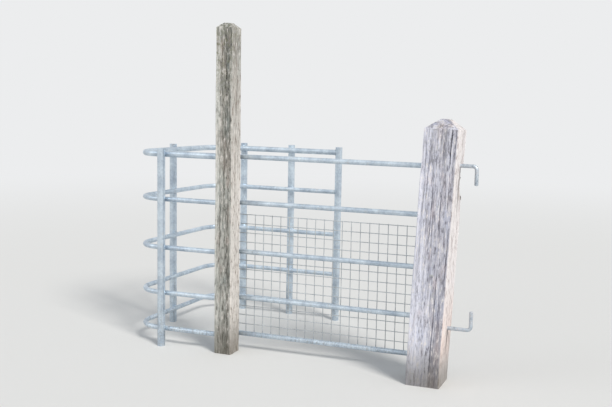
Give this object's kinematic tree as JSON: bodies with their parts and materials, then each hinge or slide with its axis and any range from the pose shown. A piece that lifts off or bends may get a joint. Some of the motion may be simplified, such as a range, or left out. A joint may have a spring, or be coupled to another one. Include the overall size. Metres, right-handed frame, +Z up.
{
  "type": "kissing gate",
  "caption": "Galvanised steel kissing gate: a railed leaf with square-mesh infill swings inside a round-cornered rail enclosure, between weathered oak posts.",
  "frame": {"origin": "centre of the hanging post's foot, at ground level", "axes": "+X from the clapping post to the hanging post, +Y through the gate to its far side, +Z up"},
  "size_m": [2.0122, 1.0902, 1.774],
  "materials": {
    "oak": "weathered silver-grey oak",
    "galvanised_steel": "dull hot-dip galvanised",
    "mesh_steel": "weathered galvanised wire",
    "hook_steel": "forged and galvanised, dulled"
  },
  "bodies": {
    "posts_and_enclosure": {"hanging_post": "oak", "clapping_post": "oak", "upper_leaf_hook": "hook_steel", "lower_leaf_hook": "hook_steel", "upper_field_hook": "hook_steel", "lower_field_hook": "hook_steel", "rear_clapping_tube": "galvanised_steel", "rear_middle_tube": "galvanised_steel", "rear_corner_tube": "galvanised_steel", "side_middle_tube": "galvanised_steel", "front_corner_tube": "galvanised_steel", "tube_caps": "galvanised_steel", "fixing_strap": "galvanised_steel", "hoop_rail_1": "galvanised_steel", "hoop_rail_2": "galvanised_steel", "hoop_rail_3": "galvanised_steel", "hoop_rail_4": "galvanised_steel", "hoop_rail_5": "galvanised_steel"},
    "leaf": {"leaf_heel_stile": "galvanised_steel", "leaf_end_stile": "galvanised_steel", "leaf_stile_caps": "galvanised_steel", "leaf_rail_1": "galvanised_steel", "leaf_rail_2": "galvanised_steel", "leaf_rail_3": "galvanised_steel", "leaf_rail_4": "galvanised_steel", "leaf_rail_5": "galvanised_steel", "leaf_mesh": "mesh_steel", "upper_leaf_eye": "galvanised_steel", "lower_leaf_eye": "galvanised_steel"}
  },
  "joints": [
    {"name": "leaf_hinge", "type": "hinge", "parent": "posts_and_enclosure", "child": "leaf", "pos_m": [-0.03, 0.135, 0.57], "axis": [0, 0, -1], "range_deg": [0, 42]}
  ]
}
